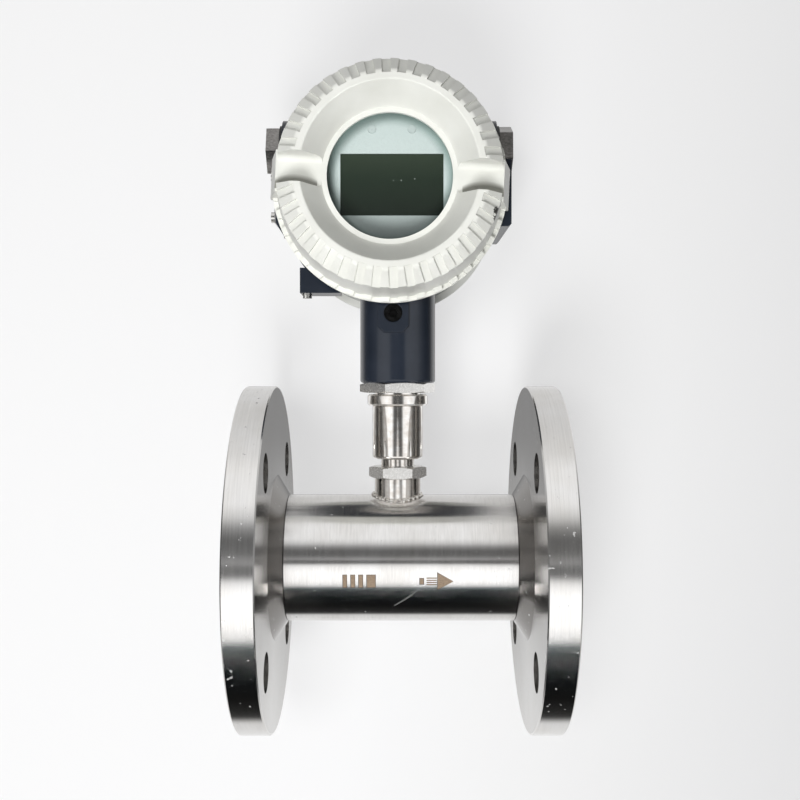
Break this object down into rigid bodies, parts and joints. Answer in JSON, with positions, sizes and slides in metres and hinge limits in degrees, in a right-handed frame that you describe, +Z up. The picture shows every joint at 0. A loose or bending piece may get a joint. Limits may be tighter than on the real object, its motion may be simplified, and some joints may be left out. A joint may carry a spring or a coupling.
{
  "type": "turbine flow meter",
  "caption": "Inline turbine flow meter with flanged steel tube, bladed rotor, pickup stem and a swivelling round display head with screw-on castellated covers.",
  "frame": {"origin": "centre of the inlet flange's bolting face, where the bolt holes start, on the pipe axis; the raised sealing face stands 1 mm in front of it", "axes": "+X along the flow, +Z up the stem to the head, display faces -Y"},
  "size_m": [0.15, 0.165, 0.3098],
  "materials": {
    "tube_steel": "turned and brushed along the circumference, satin",
    "flange_steel": "face-turned with fine circular marks",
    "weld_metal": "rippled weld bead",
    "boss_steel": "smooth turned steel",
    "nut_steel": "bright nickel plate",
    "straightener_steel": "machined satin",
    "spring_steel": "dark spring steel",
    "bearing_carbide": "ground hard metal",
    "rotor_steel": "machined magnetic stainless",
    "pole_iron": "bare iron and sintered magnet",
    "bobbin_plastic": "moulded natural plastic",
    "coil_copper": "enamelled copper winding",
    "board_laminate": "green solder mask",
    "lead_jacket": "black jacket",
    "connector_plastic": "cream moulded plastic",
    "housing_paint": "gloss dark blue-grey powder coat",
    "lock_screw_steel": "blackened steel",
    "cover_paint": "cream powder coat, slight texture",
    "seal_rubber": "black rubber",
    "window_glass": "clear toughened glass",
    "snap_ring_steel": "plain steel",
    "bezel_plate": "pale grey-blue printed plate",
    "lcd_glass": "dark green-grey display, unlit",
    "key_rubber": "grey moulded key",
    "switch_plastic": "black moulding",
    "pillar_brass": "hexagon brass pillar",
    "terminal_plastic": "dark green moulding",
    "screw_steel": "zinc-plated small screws",
    "plug_steel": "turned steel, slightly worn",
    "plate_metal": "bare brushed plate"
  },
  "bodies": {
    "base": {"meter_tube": "tube_steel", "inlet_flange": "flange_steel", "outlet_flange": "flange_steel", "sensor_boss": "boss_steel", "boss_weld_bead": "weld_metal", "inlet_diffuser": "straightener_steel", "outlet_diffuser": "straightener_steel", "inlet_retaining_ring": "spring_steel", "outlet_retaining_ring": "spring_steel", "inlet_bearing": "bearing_carbide", "outlet_bearing": "bearing_carbide", "thrust_washers": "bearing_carbide", "pickup_body": "boss_steel", "pickup_cap": "boss_steel", "swivel_retaining_ring": "spring_steel", "pickup_pole_pin": "pole_iron", "pickup_bobbin": "bobbin_plastic", "pickup_coil": "coil_copper", "pickup_magnet": "pole_iron", "pickup_board": "board_laminate", "pickup_lock_nut": "nut_steel", "neck_lock_nut": "nut_steel"},
    "rotor_set": {"rotor": "rotor_steel", "rotor_shaft": "bearing_carbide"},
    "head": {"housing": "housing_paint", "housing_lock_screw": "lock_screw_steel", "display_bezel": "bezel_plate", "lcd_panel": "lcd_glass", "display_board": "board_laminate", "key_switches": "switch_plastic", "display_standoffs": "pillar_brass", "board_standoffs": "pillar_brass", "main_board": "board_laminate", "lead_socket": "connector_plastic", "lead_connector": "connector_plastic", "signal_lead": "lead_jacket", "terminal_block": "terminal_plastic", "terminal_screws": "screw_steel", "conduit_plug_left": "plug_steel", "conduit_plug_right": "plug_steel", "plug_washers": "seal_rubber", "nameplate": "plate_metal", "nameplate_screws": "screw_steel", "ground_screw": "screw_steel", "ground_washer": "screw_steel"},
    "front_seal": {"front_cover_seal": "seal_rubber"},
    "front_lid": {"front_cover": "cover_paint", "window_gasket": "seal_rubber", "window_glass": "window_glass", "window_retaining_ring": "snap_ring_steel"},
    "rear_seal": {"rear_cover_seal": "seal_rubber"},
    "rear_lid": {"rear_cover": "cover_paint"},
    "left_key": {"key_left": "key_rubber"},
    "right_key": {"key_right": "key_rubber"}
  },
  "joints": [
    {"name": "rotor_spin", "type": "hinge", "parent": "base", "child": "rotor_set", "pos_m": [0.074, 0, 0], "axis": [1, 0, 0], "continuous": true},
    {"name": "head_swivel", "type": "hinge", "parent": "base", "child": "head", "pos_m": [0.0724, 0, 0.09], "axis": [0, 0, 1], "range_deg": [-175, 175]},
    {"name": "front_cover_travel", "type": "slide", "parent": "head", "child": "front_seal", "axis": [0, -1, 0], "range_m": [0, 0.01201]},
    {"name": "front_cover_turn", "type": "hinge", "parent": "front_seal", "child": "front_lid", "pos_m": [0.0691, 0, 0.1739], "axis": [0, -1, 0], "range_deg": [0, 2160]},
    {"name": "rear_cover_travel", "type": "slide", "parent": "head", "child": "rear_seal", "axis": [0, 1, 0], "range_m": [0, 0.01201]},
    {"name": "rear_cover_turn", "type": "hinge", "parent": "rear_seal", "child": "rear_lid", "pos_m": [0.0691, 0, 0.1739], "axis": [0, 1, 0], "range_deg": [0, 2160]},
    {"name": "key_left_press", "type": "slide", "parent": "head", "child": "left_key", "axis": [0, 1, 0], "range_m": [0, 0.0004], "stiffness_N_per_m": 600},
    {"name": "key_right_press", "type": "slide", "parent": "head", "child": "right_key", "axis": [0, 1, 0], "range_m": [0, 0.0004], "stiffness_N_per_m": 600}
  ],
  "couplings": [
    {"joint": "front_cover_travel", "follows": "front_cover_turn", "m_per_rad": 0.00031831},
    {"joint": "rear_cover_travel", "follows": "rear_cover_turn", "m_per_rad": 0.00031831}
  ]
}
